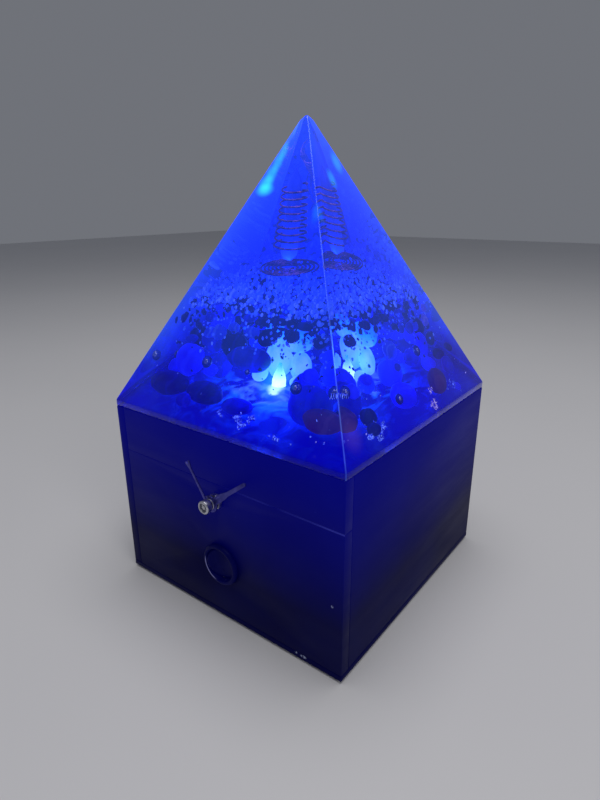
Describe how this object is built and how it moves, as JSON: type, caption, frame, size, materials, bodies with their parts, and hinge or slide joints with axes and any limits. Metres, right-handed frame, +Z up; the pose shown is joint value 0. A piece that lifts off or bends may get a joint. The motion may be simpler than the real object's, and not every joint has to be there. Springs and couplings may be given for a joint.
{
  "type": "lighted resin pyramid clock",
  "caption": "Clear resin pyramid with embedded stones and copper coils, lit from below, on a square box with clock hands, a round rocker switch and a hinged rear door.",
  "frame": {"origin": "centre of the felt underside, on the table", "axes": "+Z up through the pyramid; -Y out of the clock face; +X to the right of someone who reads the clock"},
  "size_m": [0.15, 0.1668, 0.2495],
  "materials": {
    "painted_wood": "dark navy paint, satin, over thin board",
    "bare_wood": "raw plywood and pine",
    "felt": "black felt",
    "steel": "plated steel",
    "brass": "brass",
    "copper": "bare copper wire",
    "aluminium": "satin aluminium",
    "black_plastic": "black moulded plastic",
    "white_plastic": "off-white plastic",
    "circuit_board": "circuit board with green mask",
    "cell_sleeve": "plain dark battery sleeve",
    "clear_resin": "clear cast resin, lit blue from below",
    "quartz_chips": "crushed quartz in resin",
    "dark_chips": "dark stone chips in resin",
    "blue_stone": "tumbled blue stone",
    "amber_stone": "tumbled red-brown stone",
    "rock_crystal": "clear quartz point",
    "led_lens": "clear silicone lens over a blue-white light"
  },
  "bodies": {
    "box": {"base_plate": "painted_wood", "wall_left": "painted_wood", "wall_right": "painted_wood", "wall_back": "painted_wood", "front_rail": "painted_wood", "front_panel": "painted_wood", "top_plate": "bare_wood", "corner_batten_front_left": "bare_wood", "corner_batten_front_right": "bare_wood", "corner_batten_rear_right": "bare_wood", "corner_batten_rear_left": "bare_wood", "felt_pad": "felt", "base_screw_front_left": "steel", "base_screw_front_right": "steel", "base_screw_rear_right": "steel", "base_screw_rear_left": "steel", "catch_magnet": "steel", "bushing_nut": "steel", "switch_pin": "steel", "hinge_leaf_wall": "brass", "hinge_pin": "brass", "clock_bushing": "brass", "switch_terminal_1": "brass", "switch_terminal_2": "brass", "drive_coil": "copper", "copper_spiral": "copper", "copper_helix": "copper", "heatsink": "aluminium", "movement_case": "black_plastic", "switch_body": "black_plastic", "battery_tray": "black_plastic", "movement_cover": "white_plastic", "battery_lead": "white_plastic", "lamp_lead": "white_plastic", "led_board": "circuit_board", "driver_board": "circuit_board", "clock_cell": "cell_sleeve", "lamp_cell_1": "cell_sleeve", "lamp_cell_2": "cell_sleeve", "lamp_cell_3": "cell_sleeve", "resin_base": "clear_resin", "resin_tip": "clear_resin", "quartz_bed": "quartz_chips", "chip_bed": "dark_chips", "long_stone": "dark_chips", "round_stone": "blue_stone", "amber_stone": "amber_stone", "quartz_point": "rock_crystal", "led_lens": "led_lens"},
    "door": {"rear_door": "painted_wood", "hinge_leaf_door": "brass", "door_knob": "brass"},
    "minute": {"minute_arbor": "brass", "minute_hand": "aluminium", "hand_nut": "aluminium"},
    "hour": {"hour_wheel": "brass", "hour_hand": "aluminium"},
    "motion": {"motion_wheel": "brass", "set_knob": "white_plastic"},
    "rocker": {"switch_rocker": "black_plastic"}
  },
  "joints": [
    {"name": "door_hinge", "type": "hinge", "parent": "box", "child": "door", "pos_m": [-0.05, 0.077, 0.05], "axis": [0, 0, 1], "range_deg": [0, 110]},
    {"name": "minute_turn", "type": "hinge", "parent": "box", "child": "minute", "pos_m": [0.0005, -0.075, 0.071], "axis": [0, 1, 0], "continuous": true},
    {"name": "hour_turn", "type": "hinge", "parent": "box", "child": "hour", "pos_m": [0.0005, -0.075, 0.071], "axis": [0, 1, 0], "continuous": true},
    {"name": "motion_turn", "type": "hinge", "parent": "box", "child": "motion", "pos_m": [0.00899, -0.06, 0.07949], "axis": [0, 1, 0], "continuous": true},
    {"name": "rocker_tilt", "type": "hinge", "parent": "box", "child": "rocker", "pos_m": [0.001, -0.0737, 0.034], "axis": [0, 0, 1], "range_deg": [-18, 0]}
  ],
  "couplings": [
    {"joint": "hour_turn", "follows": "minute_turn", "ratio": 0.083333},
    {"joint": "motion_turn", "follows": "minute_turn", "ratio": -0.33333}
  ]
}
